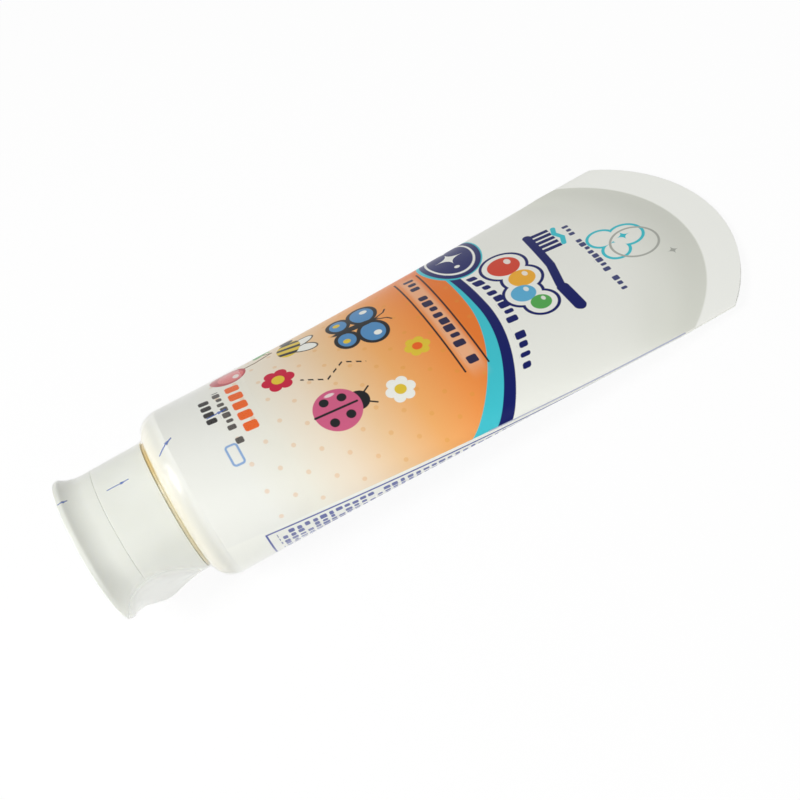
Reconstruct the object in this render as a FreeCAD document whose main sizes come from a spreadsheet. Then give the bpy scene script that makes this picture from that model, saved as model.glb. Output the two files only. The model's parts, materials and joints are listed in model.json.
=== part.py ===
"""A filled toothpaste tube with a flip-top cap, an arched flat seal and a clear shrink film.

The pieces are drawn in the tube's own frame: X runs from the cap's end face (x = 0) to the tail,
Z points out of the printed front, Y across. Each finished piece is then laid down on its back,
so that the shoulder and the tip of the seal touch the plane z = 0.
"""
import FreeCAD
import Part

import math
import os
import re

import Sketcher

document = FreeCAD.newDocument("toothpaste_tube")

# Driving dimensions in millimetres, and two plain numbers

DIMENSIONS = [
    ("tube_radius", 16.5, "radius of the round end of the sleeve"),
    ("body_length", 88.4, "start of the sleeve to the corners of the seal"),
    ("taper_power", 0.91, "how the sleeve flattens: 1 is a straight wedge"),
    ("seal_width", 8.4, "width of the flat seal at its corners"),
    ("seal_thickness", 0.8, "both walls of the sleeve pressed together"),
    ("inner_arch", 13.4, "rise of the arch where the seal begins"),
    ("outer_arch", 11.6, "rise of the arch of the cut tail"),
    ("sleeve_wall", 0.5, "wall of the sleeve over the skirt of the head"),
    ("shoulder_corner", 4.4, "outer corner radius of the shoulder"),
    ("shoulder_wall", 1.4, "wall of the moulded shoulder"),
    ("skirt_length", 1.2, "how far the head reaches into the sleeve"),
    ("neck_radius", 6.0, "outside of the nozzle"),
    ("neck_bore", 2.5, "bore radius of the nozzle"),
    ("bead_height", 0.4, "retaining bead on the nozzle"),
    ("bead_width", 1.4, "width of that bead at its foot"),
    ("bead_place", 3.4, "shoulder to the middle of the bead"),
    ("neck_fit", 0.15, "clearance between nozzle and cap"),
    ("seat_gap", 0.1, "nozzle tip to the deck of the cap"),
    ("cap_radius", 12.75, "outside of the cap"),
    ("cap_length", 16.9, "height of the closed cap"),
    ("cap_wall", 1.3, "outer wall of the cap"),
    ("cap_gap", 0.6, "open edge of the cap to the shoulder"),
    ("foot_flare", 1.25, "how far the foot of the cap stands out"),
    ("foot_height", 0.9, "straight part of the foot"),
    ("flare_radius", 7.0, "hollow between foot and cap wall"),
    ("lid_height", 6.9, "end face to the parting gap"),
    ("lid_plate", 1.2, "end plate of the lid"),
    ("parting_gap", 0.25, "gap between lid and base"),
    ("hinge_angle", 34.0, "width of the living hinge in degrees"),
    ("hinge_web", 0.45, "thickness of the living hinge"),
    ("deck_drop", 0.4, "parting gap to the deck of the base"),
    ("deck_wall", 1.2, "thickness of the deck"),
    ("spout_height", 3.2, "spout above the deck"),
    ("spout_bore", 1.6, "outlet radius of the spout"),
    ("spout_wall", 1.2, "wall of the spout"),
    ("plug_fit", 0.15, "clearance of the lid's plug in the spout"),
    ("plug_reach", 1.4, "how far the plug enters the spout"),
    ("grip_wall", 1.4, "wall of the inner skirt that grips the nozzle"),
    ("grip_end", 1.0, "inner skirt to the open edge of the cap"),
    ("film_wall", 0.1, "thickness of the shrink film"),
    ("film_fit", 0.05, "clearance under the film"),
    ("film_length", 38.7, "end face of the cap to the film's edge on the body"),
]

# Shares of a length at which the sleeve's sections stand

BODY_STATIONS = [index / 10 for index in range(11)]
ARCH_STATIONS = [0.35, 0.7, 1.0]
FILM_STATIONS = [0.0, 0.5, 1.0]

# How far cutting shapes reach past what they cut

JAW_REACH = 5.0
SLOT_REACH = 2.0

sheet = document.addObject("Spreadsheet::Sheet", "Dims")
for row, (alias, number, note) in enumerate(DIMENSIONS, start=1):
    sheet.set(f"A{row}", note)
    sheet.set(f"B{row}", str(number))
    sheet.setAlias(f"B{row}", alias)
document.recompute()

ALIASES = [alias for alias, number, note in DIMENSIONS]


def cells(text):
    """Turn the plain dimension names of an expression into references to the sheet."""
    return re.sub(r"\b(" + "|".join(ALIASES) + r")\b", r"Dims.\1", str(text))


def value_of(text):
    """The present value of an expression in the dimensions."""
    return float(sheet.evalExpression(cells(text)))


# Places along the tube that several pieces share

SHOULDER_PLANE = "(cap_length + cap_gap)"
SLEEVE_START = "(cap_length + cap_gap + shoulder_corner)"
SEAL_CORNER = "(cap_length + cap_gap + shoulder_corner + body_length)"
TAIL_TIP = "(cap_length + cap_gap + shoulder_corner + body_length + seal_width + outer_arch)"
HALF_SEAL = "(pi / 2 * tube_radius)"
DECK_PLACE = "(lid_height + parting_gap + deck_drop)"
NECK_TIP = "(lid_height + parting_gap + deck_drop + deck_wall + seat_gap)"
FOOT_RADIUS = "(cap_radius + foot_flare)"
FLARE_REACH = "sqrt(pow(flare_radius; 2) - pow(flare_radius - foot_flare; 2))"
CAP_OVERHANG = "max(cap_radius - tube_radius + shoulder_corner; 0)"
FILM_MEETING = (f"max({SHOULDER_PLANE}; {SLEEVE_START} - "
                f"sqrt(max(pow(shoulder_corner; 2) - pow({CAP_OVERHANG}; 2); 0)))")
FILM_INSIDE = "film_fit"
FILM_OUTSIDE = "film_fit + film_wall"


def arch_radius(rise):
    """Radius of a circular arch over the whole width of the seal."""
    return f"(pow({HALF_SEAL}; 2) + pow({rise}; 2)) / (2 * {rise})"


# Building blocks

def edge_end(sketch, index, point):
    """Which end of an edge, 1 or 2, lies at a point."""
    if sketch.getPoint(index, 1).distanceToPoint(point) < 1e-6:
        return 1
    return 2


def draw_outline(sketch, corners):
    """Draw a closed outline and tie it to the sheet. A corner is (x, y) with a straight edge
    after it, or (x, y, radius, side) with an arc after it; side is 1 with the centre on the
    left of the chord and -1 with the centre on its right."""
    points = [FreeCAD.Vector(value_of(corner[0]), value_of(corner[1]), 0) for corner in corners]
    count = len(corners)
    for index, corner in enumerate(corners):
        start = points[index]
        end = points[(index + 1) % count]
        if len(corner) == 2:
            sketch.addGeometry(Part.LineSegment(start, end), False)
            continue
        radius = value_of(corner[2])
        chord = end - start
        left = FreeCAD.Vector(-chord.y, chord.x, 0).normalize()
        reach = math.sqrt(max(radius ** 2 - (chord.Length / 2) ** 2, 0.0))
        centre = (start + end) * 0.5 + left * (corner[3] * reach)
        middle = centre - left * (corner[3] * radius)
        sketch.addGeometry(Part.Arc(start, middle, end), False)
    for index in range(count):
        following = (index + 1) % count
        joint = points[following]
        sketch.addConstraint(Sketcher.Constraint(
            "Coincident", index, edge_end(sketch, index, joint),
            following, edge_end(sketch, following, joint)))
    for index, corner in enumerate(corners):
        start = edge_end(sketch, index, points[index])
        for kind, text, place in (("DistanceX", corner[0], points[index].x),
                                  ("DistanceY", corner[1], points[index].y)):
            constraint = sketch.addConstraint(Sketcher.Constraint(kind, index, start, place))
            sketch.setExpression(f"Constraints[{constraint}]", cells(text))
        if len(corner) > 2:
            radius = value_of(corner[2])
            constraint = sketch.addConstraint(Sketcher.Constraint("Radius", index, radius))
            sketch.setExpression(f"Constraints[{constraint}]", cells(corner[2]))


def origin_plane(body, role):
    """One of the origin planes of a body."""
    for feature in body.Origin.OriginFeatures:
        if feature.Role == role:
            return feature
    raise ValueError(role)


def turned_body(name, corners):
    """A body turned about the tube's axis from a half section."""
    body = document.addObject("PartDesign::Body", name)
    sketch = body.newObject("Sketcher::SketchObject", f"{name}_section")
    sketch.AttachmentSupport = [(origin_plane(body, "XY_Plane"), "")]
    sketch.MapMode = "FlatFace"
    draw_outline(sketch, corners)
    turn = body.newObject("PartDesign::Revolution", f"{name}_turn")
    turn.Profile = sketch
    turn.ReferenceAxis = (sketch, ["H_Axis"])
    turn.Angle = 360
    body.Tip = turn
    document.recompute()
    return body


def turned_groove(body, name, corners, angle):
    """Cut a ring section out of a body, all the way round or over an angle about -Z."""
    sketch = body.newObject("Sketcher::SketchObject", f"{name}_section")
    sketch.AttachmentSupport = [(origin_plane(body, "XZ_Plane"), "")]
    sketch.MapMode = "FlatFace"
    draw_outline(sketch, corners)
    groove = body.newObject("PartDesign::Groove", name)
    groove.Profile = sketch
    groove.ReferenceAxis = (sketch, ["H_Axis"])
    groove.Midplane = True
    groove.setExpression("Angle", cells(angle))
    body.Tip = groove
    document.recompute()
    return groove


def extruded_outline(name, corners, thickness):
    """A plate of a given thickness about the plane of the seal."""
    sketch = document.addObject("Sketcher::SketchObject", f"{name}_outline")
    draw_outline(sketch, corners)
    plate = document.addObject("Part::Extrusion", name)
    plate.Base = sketch
    plate.DirMode = "Normal"
    plate.Symmetric = True
    plate.Solid = True
    plate.setExpression("LengthFwd", cells(thickness))
    return plate


def combined(kind, name, base, tool):
    """A boolean of two objects."""
    result = document.addObject(kind, name)
    result.Base = base
    result.Tool = tool
    document.recompute()
    return result


def sleeve_section(name, distance, outset="0"):
    """The sleeve's section at a distance from its round end: an ellipse with the girth of the
    round end. The middle of the sleeve reaches further back than its edges, by the inner arch."""
    root = f"sqrt(pow(body_length; 2) + 4 * inner_arch * {distance})"
    middle_share = f"(({root} - body_length) / (2 * inner_arch))"
    edge_share = f"min({distance} / body_length; 1)"
    edge_height = f"(tube_radius * pow(1 - {edge_share}; taper_power))"
    girth = "(log(2) / log(pi / 2))"
    half_width = f"pow(pow({HALF_SEAL}; {girth}) - pow({edge_height}; {girth}); 1 / {girth})"
    middle_height = f"(tube_radius * pow(max(1 - {middle_share}; 0); taper_power))"
    half_height = f"max({middle_height}; seal_thickness / 2)"
    ring = document.addObject("Part::Ellipse", name)
    ring.Placement.Rotation = FreeCAD.Rotation(FreeCAD.Vector(1, 1, 1), 120)
    ring.setExpression("Placement.Base.x", cells(f"{SLEEVE_START} + {distance}"))
    ring.setExpression("MajorRadius", cells(f"{half_width} + {outset}"))
    ring.setExpression("MinorRadius", cells(f"min({half_height}; {half_width}) + {outset}"))
    return ring


def skinned(name, distances, outset="0"):
    """A solid with straight walls between the sleeve's sections at several distances."""
    rings = []
    for index, distance in enumerate(distances):
        rings.append(sleeve_section(f"{name}_ring_{index}", distance, outset))
    skin = document.addObject("Part::Loft", name)
    skin.Sections = rings
    skin.Solid = True
    skin.Ruled = True
    document.recompute()
    return skin


# The head: hollow shoulder, nozzle with its bead, and the skirt inside the sleeve

BEAD_MIDDLE = f"({SHOULDER_PLANE} - bead_place)"
head = turned_body("tube_head", [
    (NECK_TIP, "neck_bore"),
    (NECK_TIP, "neck_radius"),
    (f"{BEAD_MIDDLE} - bead_width / 2", "neck_radius"),
    (f"{BEAD_MIDDLE} - bead_width / 2 + bead_height", "neck_radius + bead_height"),
    (f"{BEAD_MIDDLE} + bead_width / 2 - bead_height", "neck_radius + bead_height"),
    (f"{BEAD_MIDDLE} + bead_width / 2", "neck_radius"),
    (SHOULDER_PLANE, "neck_radius"),
    (SHOULDER_PLANE, "tube_radius - shoulder_corner", "shoulder_corner", -1),
    (SLEEVE_START, "tube_radius"),
    (SLEEVE_START, "tube_radius - sleeve_wall"),
    (f"{SLEEVE_START} + skirt_length", "tube_radius - sleeve_wall"),
    (f"{SLEEVE_START} + skirt_length", "tube_radius - shoulder_wall"),
    (SLEEVE_START, "tube_radius - shoulder_wall", "shoulder_corner - shoulder_wall", 1),
    (f"{SHOULDER_PLANE} + shoulder_wall", "tube_radius - shoulder_corner"),
    (f"{SHOULDER_PLANE} + shoulder_wall", "neck_bore"),
])

# The filled sleeve: wedge of paste in its laminate, paste in the head, and the arched seal

wedge = skinned("wedge", [f"({share} * body_length)" for share in BODY_STATIONS]
                + [f"(body_length + {share} * inner_arch)" for share in ARCH_STATIONS])

skirt_slot = turned_body("skirt_slot", [
    (f"{SLEEVE_START} - {SLOT_REACH}", "tube_radius - sleeve_wall"),
    (f"{SLEEVE_START} + skirt_length", "tube_radius - sleeve_wall"),
    (f"{SLEEVE_START} + skirt_length", "tube_radius - shoulder_wall"),
    (f"{SLEEVE_START} - {SLOT_REACH}", "tube_radius - shoulder_wall"),
])

paste_in_head = turned_body("paste_in_head", [
    (NECK_TIP, "0"),
    (NECK_TIP, "neck_bore"),
    (f"{SHOULDER_PLANE} + shoulder_wall", "neck_bore"),
    (f"{SHOULDER_PLANE} + shoulder_wall", "tube_radius - shoulder_corner",
     "shoulder_corner - shoulder_wall", -1),
    (SLEEVE_START, "tube_radius - shoulder_wall"),
    (SLEEVE_START, "0"),
])

sealing_jaws = extruded_outline("sealing_jaws", [
    (SEAL_CORNER, f"-{HALF_SEAL}", arch_radius("inner_arch"), 1),
    (SEAL_CORNER, HALF_SEAL),
    (SEAL_CORNER, f"{HALF_SEAL} + {JAW_REACH}"),
    (f"{TAIL_TIP} + {JAW_REACH}", f"{HALF_SEAL} + {JAW_REACH}"),
    (f"{TAIL_TIP} + {JAW_REACH}", f"-{HALF_SEAL} - {JAW_REACH}"),
    (SEAL_CORNER, f"-{HALF_SEAL} - {JAW_REACH}"),
], "2 * tube_radius")

flat_seal = extruded_outline("flat_seal", [
    (SEAL_CORNER, f"-{HALF_SEAL}"),
    (f"{SEAL_CORNER} + seal_width", f"-{HALF_SEAL}", arch_radius("outer_arch"), 1),
    (f"{SEAL_CORNER} + seal_width", HALF_SEAL),
    (SEAL_CORNER, HALF_SEAL),
], "seal_thickness")

slotted_wedge = combined("Part::Cut", "slotted_wedge", wedge, skirt_slot)
pressed_wedge = combined("Part::Cut", "pressed_wedge", slotted_wedge, sealing_jaws)
sealed_wedge = combined("Part::Fuse", "sealed_wedge", pressed_wedge, flat_seal)
sleeve = combined("Part::Fuse", "filled_sleeve", sealed_wedge, paste_in_head)

# The cap: base and closed lid moulded as one, joined by the living hinge at the back

GRIP_RADIUS = "(neck_radius + neck_fit)"
CAP_INSIDE = "(cap_radius - cap_wall)"
SPOUT_RADIUS = "(spout_bore + spout_wall)"
PLUG_RADIUS = "(spout_bore - plug_fit)"
cap = turned_body("flip_cap", [
    ("0", "0"),
    ("0", FOOT_RADIUS),
    ("foot_height", FOOT_RADIUS, "flare_radius", 1),
    (f"foot_height + {FLARE_REACH}", "cap_radius"),
    ("cap_length", "cap_radius"),
    ("cap_length", CAP_INSIDE),
    (f"{DECK_PLACE} + deck_wall", CAP_INSIDE),
    (f"{DECK_PLACE} + deck_wall", f"{GRIP_RADIUS} + grip_wall"),
    ("cap_length - grip_end", f"{GRIP_RADIUS} + grip_wall"),
    ("cap_length - grip_end", GRIP_RADIUS),
    (f"{BEAD_MIDDLE} + bead_width / 2 + neck_fit", GRIP_RADIUS),
    (f"{BEAD_MIDDLE} + bead_width / 2 + neck_fit - bead_height", f"{GRIP_RADIUS} + bead_height"),
    (f"{BEAD_MIDDLE} - bead_width / 2 - neck_fit + bead_height", f"{GRIP_RADIUS} + bead_height"),
    (f"{BEAD_MIDDLE} - bead_width / 2 - neck_fit", GRIP_RADIUS),
    (f"{DECK_PLACE} + deck_wall", GRIP_RADIUS),
    (f"{DECK_PLACE} + deck_wall", "spout_bore"),
    (f"{DECK_PLACE} - spout_height", "spout_bore"),
    (f"{DECK_PLACE} - spout_height", SPOUT_RADIUS),
    (DECK_PLACE, SPOUT_RADIUS),
    (DECK_PLACE, CAP_INSIDE),
    ("lid_plate", CAP_INSIDE),
    ("lid_plate", PLUG_RADIUS),
    (f"{DECK_PLACE} - spout_height + plug_reach", PLUG_RADIUS),
    (f"{DECK_PLACE} - spout_height + plug_reach", "0"),
])
turned_groove(cap, "hinge_recess", [
    ("lid_height - parting_gap", "cap_radius + parting_gap"),
    ("lid_height + parting_gap / 2", f"{CAP_INSIDE} + hinge_web"),
    ("lid_height + 2 * parting_gap", "cap_radius + parting_gap"),
], "360")
turned_groove(cap, "parting_cut", [
    ("lid_height", f"{CAP_INSIDE} - parting_gap"),
    ("lid_height + parting_gap", f"{CAP_INSIDE} - parting_gap"),
    ("lid_height + parting_gap", "cap_radius + parting_gap"),
    ("lid_height", "cap_radius + parting_gap"),
], "360 - hinge_angle")

# The shrink film: a thin skin over cap, shoulder and the start of the sleeve

def film_over_cap(name, outset):
    """The turned space inside one face of the film along the cap."""
    flare = f"flare_radius - ({outset})"
    reach = f"sqrt(pow({flare}; 2) - pow(flare_radius - foot_flare - ({outset}); 2))"
    return turned_body(name, [
        ("0", "0"),
        ("0", f"{FOOT_RADIUS} + {outset}"),
        (f"foot_height + {FLARE_REACH} - {reach}", f"{FOOT_RADIUS} + {outset}", flare, 1),
        (f"foot_height + {FLARE_REACH}", f"cap_radius + {outset}"),
        (FILM_MEETING, f"cap_radius + {outset}"),
        (FILM_MEETING, "0"),
    ])


def film_over_shoulder(name, outset):
    """The turned space inside one face of the film along the shoulder."""
    return turned_body(name, [
        (f"{SHOULDER_PLANE} - ({outset})", "0"),
        (f"{SHOULDER_PLANE} - ({outset})", "tube_radius - shoulder_corner",
         f"shoulder_corner + {outset}", -1),
        (SLEEVE_START, f"tube_radius + {outset}"),
        (SLEEVE_START, "0"),
    ])


def film_space(name, outset):
    """All the space inside one face of the film."""
    reach = f"(film_length - {SLEEVE_START})"
    space = document.addObject("Part::MultiFuse", name)
    space.Shapes = [
        film_over_cap(f"{name}_cap", outset),
        film_over_shoulder(f"{name}_shoulder", outset),
        skinned(f"{name}_back", [f"({share} * {reach})" for share in FILM_STATIONS], outset),
    ]
    document.recompute()
    return space


film = combined("Part::Cut", "shrink_film",
                film_space("film_outside", FILM_OUTSIDE),
                film_space("film_inside", FILM_INSIDE))

# Laying the finished pieces down

PIECES = {"tube_head": head, "filled_sleeve": sleeve, "flip_cap": cap, "shrink_film": film}


def lying_placement():
    """The tube on its back: shoulder and seal tip on z = 0, origin under the middle."""
    shoulder_drop = value_of(f"tube_radius + {FILM_OUTSIDE}")
    tail_drop = value_of("seal_thickness / 2")
    run = value_of(f"{TAIL_TIP} - {SLEEVE_START}")
    tilt = math.atan2(shoulder_drop - tail_drop, run)
    low_x = -value_of(f"{FOOT_RADIUS} + {FILM_OUTSIDE}") * math.sin(tilt)
    high_x = value_of(TAIL_TIP) * math.cos(tilt) + tail_drop * math.sin(tilt)
    lift = value_of(TAIL_TIP) * math.sin(tilt) + tail_drop * math.cos(tilt)
    turn = FreeCAD.Rotation(FreeCAD.Vector(0, 1, 0), math.degrees(tilt))
    return FreeCAD.Placement(FreeCAD.Vector(-(low_x + high_x) / 2, 0, lift), turn)


for label, piece in PIECES.items():
    piece.Label = label
    piece.Placement = lying_placement()
document.recompute()

# Checking and writing

for item in document.Objects:
    if "Invalid" in item.State or "Error" in item.State:
        raise RuntimeError(f"{item.Name} did not build")
os.makedirs("parts", exist_ok=True)
for label, piece in PIECES.items():
    if piece.Shape.isNull() or not piece.Shape.isValid():
        raise RuntimeError(f"{label} has no sound shape")
    if len(piece.Shape.Solids) != 1:
        raise RuntimeError(f"{label} is not one solid")
for label, piece in PIECES.items():
    piece.Shape.exportStep(f"parts/{label}.step")
    print(label, round(piece.Shape.Volume, 1), piece.Shape.BoundBox)
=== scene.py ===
import functools
import json
import math

import bpy
import numpy as np
from mathutils import Matrix, Vector, noise


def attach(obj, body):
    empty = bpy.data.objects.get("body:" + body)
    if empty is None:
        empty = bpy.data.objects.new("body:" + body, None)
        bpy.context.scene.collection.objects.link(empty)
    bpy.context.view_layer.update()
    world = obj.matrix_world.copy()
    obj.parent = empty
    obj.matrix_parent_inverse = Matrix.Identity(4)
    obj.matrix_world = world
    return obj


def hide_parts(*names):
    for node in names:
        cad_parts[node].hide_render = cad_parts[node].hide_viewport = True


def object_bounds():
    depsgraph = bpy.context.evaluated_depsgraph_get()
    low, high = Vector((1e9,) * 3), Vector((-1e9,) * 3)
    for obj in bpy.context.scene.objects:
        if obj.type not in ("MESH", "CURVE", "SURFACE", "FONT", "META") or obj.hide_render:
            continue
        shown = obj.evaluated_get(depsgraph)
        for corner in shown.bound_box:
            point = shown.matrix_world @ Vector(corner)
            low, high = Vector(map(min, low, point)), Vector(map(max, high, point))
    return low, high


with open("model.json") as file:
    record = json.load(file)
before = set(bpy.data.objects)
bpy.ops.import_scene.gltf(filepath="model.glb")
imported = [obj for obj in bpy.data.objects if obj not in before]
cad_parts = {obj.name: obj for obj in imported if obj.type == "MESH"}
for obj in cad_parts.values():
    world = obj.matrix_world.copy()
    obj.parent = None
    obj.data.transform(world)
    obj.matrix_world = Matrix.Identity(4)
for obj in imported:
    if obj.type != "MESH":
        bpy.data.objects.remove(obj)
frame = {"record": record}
CAD_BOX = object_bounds()
BOX_MARGIN = 2e-6
BOX_LOW, BOX_HIGH = (np.array(corner, float) for corner in CAD_BOX)

# Sizes in millimetres, in the tube's own frame: X from the cap's end face to the tail,
# Z out of the printed front, Y across

TUBE_RADIUS = 16.5
BODY_LENGTH = 88.4
TAPER_POWER = 0.91
SEAL_WIDTH = 8.4
SEAL_THICKNESS = 0.8
INNER_ARCH = 13.4
OUTER_ARCH = 11.6
SLEEVE_WALL = 0.5
SHOULDER_CORNER = 4.4
SKIRT_LENGTH = 1.2
NECK_RADIUS = 6.0
CAP_RADIUS = 12.75
CAP_LENGTH = 16.9
CAP_WALL = 1.3
CAP_GAP = 0.6
FOOT_FLARE = 1.25
FOOT_HEIGHT = 0.9
FLARE_RADIUS = 7.0
LID_HEIGHT = 6.9
HINGE_ANGLE = 34.0
FILM_WALL = 0.1
FILM_FIT = 0.05
FILM_LENGTH = 38.7

SHOULDER_PLANE = CAP_LENGTH + CAP_GAP
SLEEVE_START = SHOULDER_PLANE + SHOULDER_CORNER
HALF_SEAL = math.pi / 2 * TUBE_RADIUS
FOOT_RADIUS = CAP_RADIUS + FOOT_FLARE
GIRTH_POWER = math.log(2) / math.log(math.pi / 2)

# The print is measured along the tube from a line this far before the start of the sleeve

PRINT_LEAD = 21.0

# The tube's frame in the row's frame, from the mount on the cap's end face

MM = 0.001
mount = frame["record"]["mounts"][0]
along = -Vector(mount["axis"]).normalized()
across = Vector((0, 1, 0))
outward = along.cross(across)
TUBE_AXES = Matrix((along, across, outward)).transposed()
TUBE_TO_ROW = Matrix.Translation(mount["pos_m"]) @ TUBE_AXES.to_4x4() @ Matrix.Scale(MM, 4)


def in_row(points):
    """Points of the tube's frame, in mm, as points of the row's frame, in metres."""
    matrix = np.array(TUBE_TO_ROW)
    return np.asarray(points, float) @ matrix[:3, :3].T + matrix[:3, 3]


# Numbers over a surface, worked out by nodes

def joined(tree, term, slot):
    """Give a node's input a plain value or link it to a field."""
    if isinstance(term, Field):
        tree.links.new(term.socket, slot)
    else:
        slot.default_value = term


class Field:
    """A number or a vector that varies over a surface, with plain arithmetic."""

    def __init__(self, tree, socket):
        self.tree = tree
        self.socket = socket

    def number(self, operation, *others, clamp=False):
        node = self.tree.nodes.new("ShaderNodeMath")
        node.operation = operation
        node.use_clamp = clamp
        for slot, term in zip(node.inputs, (self, *others)):
            joined(self.tree, term, slot)
        return Field(self.tree, node.outputs[0])

    def vector(self, operation, *others, output="Vector"):
        node = self.tree.nodes.new("ShaderNodeVectorMath")
        node.operation = operation
        for slot, term in zip(node.inputs, (self, *others)):
            joined(self.tree, term, slot)
        return Field(self.tree, node.outputs[output])

    def __add__(self, other):
        return self.number("ADD", other)

    def __sub__(self, other):
        return self.number("SUBTRACT", other)

    def __rsub__(self, other):
        return (-self).number("ADD", other)

    def __mul__(self, other):
        return self.number("MULTIPLY", other)

    def __truediv__(self, other):
        return self.number("DIVIDE", other)

    def __neg__(self):
        return self.number("MULTIPLY", -1.0)

    def __abs__(self):
        return self.number("ABSOLUTE")

    def least(self, other):
        return self.number("MINIMUM", other)

    def most(self, other):
        return self.number("MAXIMUM", other)

    def wrapped(self, period):
        return self.number("WRAP", period / 2, -period / 2)


def combined(tree, x, y, z=0.0):
    node = tree.nodes.new("ShaderNodeCombineXYZ")
    for slot, term in zip(node.inputs, (x, y, z)):
        joined(tree, term, slot)
    return Field(tree, node.outputs[0])


def x_and_y(vector):
    """The first two numbers of a vector field."""
    node = vector.tree.nodes.new("ShaderNodeSeparateXYZ")
    vector.tree.links.new(vector.socket, node.inputs[0])
    return [Field(vector.tree, node.outputs[axis]) for axis in (0, 1)]


def scaled(tree, direction, share):
    """A fixed direction times a field."""
    node = tree.nodes.new("ShaderNodeVectorMath")
    node.operation = "SCALE"
    node.inputs[0].default_value = direction
    joined(tree, share, node.inputs["Scale"])
    return Field(tree, node.outputs["Vector"])


def noise_field(tree, place, scale, detail=2.0, roughness=0.5):
    node = tree.nodes.new("ShaderNodeTexNoise")
    node.inputs["Scale"].default_value = scale
    node.inputs["Detail"].default_value = detail
    node.inputs["Roughness"].default_value = roughness
    tree.links.new(place.socket, node.inputs["Vector"])
    return Field(tree, node.outputs["Fac"])


def between(tree, field, low, high, to_low=0.0, to_high=1.0, smooth=False):
    """A field's range from low to high carried over to another range."""
    node = tree.nodes.new("ShaderNodeMapRange")
    node.interpolation_type = "SMOOTHSTEP" if smooth else "LINEAR"
    joined(tree, field, node.inputs["Value"])
    limits = {"From Min": low, "From Max": high, "To Min": to_low, "To Max": to_high}
    for name, term in limits.items():
        joined(tree, term, node.inputs[name])
    return Field(tree, node.outputs["Result"])


def linear(red, green, blue):
    """A colour written as on a screen, 0 to 255, as Blender's linear colour."""
    shares = []
    for level in (red, green, blue):
        share = level / 255
        shares.append(share / 12.92 if share <= 0.04045 else ((share + 0.055) / 1.055) ** 2.4)
    return (*shares, 1.0)


def blended(tree, share, below, above):
    """Two colours mixed by a share."""
    node = tree.nodes.new("ShaderNodeMix")
    node.data_type = "RGBA"
    joined(tree, share, node.inputs["Factor"])
    joined(tree, below, node.inputs["A"])
    joined(tree, above, node.inputs["B"])
    return Field(tree, node.outputs["Result"])


# Flat shapes on the print, as the distance outside their edge in mm. A place on the print is
# (x, s): x along the tube and s round it, from the middle of the front towards -Y

def any_of(shapes):
    """Several shapes as one."""
    return functools.reduce(Field.least, shapes)


def disc(place, x, s, radius):
    return place.vector("DISTANCE", (x, s, 0.0), output="Value") - radius


def local(place, x, s, turn=0.0):
    """The place seen from a point, in degrees turned."""
    moved = place.vector("SUBTRACT", (x, s, 0.0))
    if not turn:
        return moved
    node = place.tree.nodes.new("ShaderNodeVectorRotate")
    node.rotation_type = "Z_AXIS"
    node.inputs["Angle"].default_value = -math.radians(turn)
    place.tree.links.new(moved.socket, node.inputs["Vector"])
    return Field(place.tree, node.outputs["Vector"])


def oval(place, x, s, half_x, half_s, turn=0.0):
    shares = local(place, x, s, turn).vector("DIVIDE", (half_x, half_s, 1.0))
    return (shares.vector("LENGTH", output="Value") - 1.0) * min(half_x, half_s)


def plate(place, x, s, half_x, half_s, corner=0.0, turn=0.0):
    folded = local(place, x, s, turn).vector("ABSOLUTE")
    outside = folded.vector("SUBTRACT", (half_x - corner, half_s - corner, 0.0))
    return outside.vector("MAXIMUM", (0.0, 0.0, 0.0)).vector("LENGTH", output="Value") - corner


def stroke(place, start, end, half_width):
    """A straight line with round ends."""
    span = Vector((*end, 0.0)) - Vector((*start, 0.0))
    reach = place.vector("SUBTRACT", (*start, 0.0))
    share = reach.vector("DOT_PRODUCT", tuple(span / span.length_squared), output="Value")
    foot = scaled(place.tree, span, share.number("ADD", 0.0, clamp=True))
    return reach.vector("DISTANCE", foot, output="Value") - half_width


def strokes(place, points, half_width):
    """A broken line through several points."""
    return any_of(stroke(place, *ends, half_width) for ends in zip(points, points[1:]))


ARROW_HEAD = 1.5
ARROW_SPREAD = 2.8


def arrow(place, start, end, half_width):
    """A thin shaft with a slender head."""
    span = Vector(end) - Vector(start)
    turn = math.degrees(math.atan2(span.y, span.x))
    run, off = x_and_y(local(place, *start, turn))
    head_length = min(ARROW_HEAD, span.length * 0.5)
    taper = (span.length - run) * (ARROW_SPREAD * half_width / head_length)
    head = (abs(off) - taper).most(span.length - head_length - run)
    return stroke(place, start, end, half_width).least(head)


def outline(distance, half_width):
    return abs(distance) - half_width


def sparkle(place, x, s, reach):
    """A star with four hollow-sided points."""
    across_x, across_s = x_and_y(local(place, x, s).vector("ABSOLUTE"))
    total = across_x.number("SQRT") + across_s.number("SQRT")
    return total * total - reach


def round_petals(place, x, s, count, middle, radius):
    """Discs set evenly in a ring."""
    petals = []
    for index in range(count):
        angle = 2 * math.pi * index / count
        petal_x, petal_s = x + middle * math.cos(angle), s + middle * math.sin(angle)
        petals.append(disc(place, petal_x, petal_s, radius))
    return any_of(petals)


def chances(tree, cell, line):
    """Three chances from nought to one for each cell of a grid."""
    node = tree.nodes.new("ShaderNodeTexWhiteNoise")
    node.noise_dimensions = "2D"
    tree.links.new(combined(tree, cell, line).socket, node.inputs["Vector"])
    parts = tree.nodes.new("ShaderNodeSeparateColor")
    tree.links.new(node.outputs["Color"], parts.inputs[0])
    return [Field(tree, output) for output in parts.outputs]


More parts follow.
